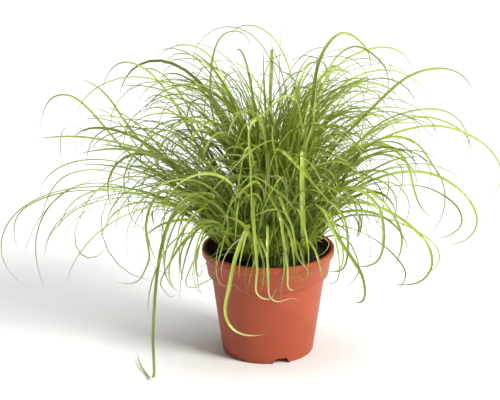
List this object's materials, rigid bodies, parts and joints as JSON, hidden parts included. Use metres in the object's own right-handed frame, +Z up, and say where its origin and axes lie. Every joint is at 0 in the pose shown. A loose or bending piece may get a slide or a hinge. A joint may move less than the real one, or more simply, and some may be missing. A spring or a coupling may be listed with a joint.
{
  "type": "potted grass plant",
  "caption": "Cat grass in a round plastic nursery pot: a wide fountain of thin arching green blades over dark soil.",
  "frame": {"origin": "middle of the pot's foot, on the surface that it stands on", "axes": "+Z up, +X to the plant's right as seen from its front, -Y towards the front"},
  "size_m": [0.4484, 0.3152, 0.3036],
  "materials": {
    "terracotta_plastic": "satin",
    "peat_soil": "matte",
    "grass_blade": "satin"
  },
  "bodies": {
    "root": {"pot": "terracotta_plastic", "soil": "peat_soil", "tuft_01": "grass_blade", "tuft_02": "grass_blade", "tuft_03": "grass_blade", "tuft_04": "grass_blade", "tuft_05": "grass_blade", "tuft_06": "grass_blade", "tuft_07": "grass_blade", "tuft_08": "grass_blade", "tuft_09": "grass_blade", "tuft_10": "grass_blade", "tuft_11": "grass_blade", "tuft_12": "grass_blade", "tuft_13": "grass_blade", "tuft_14": "grass_blade", "tuft_15": "grass_blade", "tuft_16": "grass_blade", "tuft_17": "grass_blade", "tuft_18": "grass_blade", "tuft_19": "grass_blade", "tuft_20": "grass_blade", "tuft_21": "grass_blade", "tuft_22": "grass_blade", "tuft_23": "grass_blade", "tuft_24": "grass_blade", "tuft_25": "grass_blade", "tuft_26": "grass_blade", "tuft_27": "grass_blade", "tuft_28": "grass_blade", "tuft_29": "grass_blade", "tuft_30": "grass_blade", "tuft_31": "grass_blade", "tuft_32": "grass_blade", "tuft_33": "grass_blade", "tuft_34": "grass_blade", "tuft_35": "grass_blade", "tuft_36": "grass_blade", "tuft_37": "grass_blade", "tuft_38": "grass_blade", "tuft_39": "grass_blade", "tuft_40": "grass_blade", "tuft_41": "grass_blade", "tuft_42": "grass_blade", "tuft_43": "grass_blade"}
  },
  "joints": []
}
